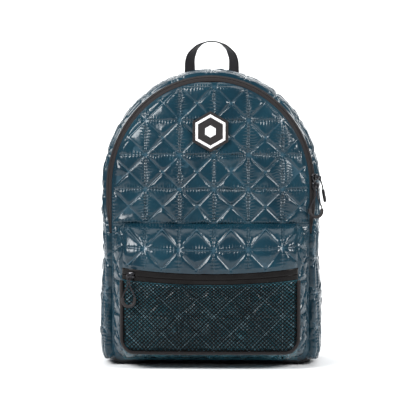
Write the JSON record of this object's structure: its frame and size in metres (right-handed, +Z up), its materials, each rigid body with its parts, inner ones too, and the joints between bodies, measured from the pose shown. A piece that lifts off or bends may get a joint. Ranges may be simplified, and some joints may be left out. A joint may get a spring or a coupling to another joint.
{
  "type": "quilted backpack",
  "caption": "Round-topped quilted backpack with a zip over its top, a front zip pocket with a net, a webbing handle and padded shoulder straps.",
  "frame": {"origin": "on the floor, at the middle of the flat base", "axes": "+Z up, front faces -Y, +X to the bag's right as the front is looked at"},
  "size_m": [0.3206, 0.2344, 0.457],
  "materials": {
    "quilted_nylon": "glossy coated quilted nylon",
    "base_cloth": "smooth black coated cloth",
    "back_cloth": "matt padded cloth",
    "zip_tape": "ribbed tape",
    "coated_zip": "smooth coated tape",
    "net": "diamond netting",
    "webbing": "woven webbing",
    "black_rubber": "satin",
    "white_rubber": "satin",
    "slider_metal": "black enamel",
    "buckle_plastic": "fine grain"
  },
  "bodies": {
    "root": {"front_panel": "quilted_nylon", "side_wall": "quilted_nylon", "base": "base_cloth", "back_panel": "back_cloth", "main_zip": "zip_tape", "pocket_top": "quilted_nylon", "pocket_lower": "quilted_nylon", "pocket_side_right": "quilted_nylon", "pocket_side_left": "quilted_nylon", "pocket_zip": "coated_zip", "net_panel": "net", "net_binding": "zip_tape", "badge_plate": "black_rubber", "badge_outer_line": "white_rubber", "badge_heart": "white_rubber", "top_handle": "webbing", "main_slider_lower": "slider_metal", "main_slider_upper": "slider_metal", "pocket_slider": "slider_metal", "front_pull_cord": "webbing", "side_pull_cord": "webbing", "pocket_pull_cord": "webbing", "front_pull_grip": "black_rubber", "side_pull_grip": "black_rubber", "pocket_pull_grip": "black_rubber", "yoke": "back_cloth", "strap_pad_right": "back_cloth", "strap_tab_right": "webbing", "strap_buckle_right": "buckle_plastic", "strap_webbing_right": "webbing", "strap_anchor_right": "back_cloth", "strap_pad_left": "back_cloth", "strap_tab_left": "webbing", "strap_buckle_left": "buckle_plastic", "strap_webbing_left": "webbing", "strap_anchor_left": "back_cloth"}
  },
  "joints": []
}
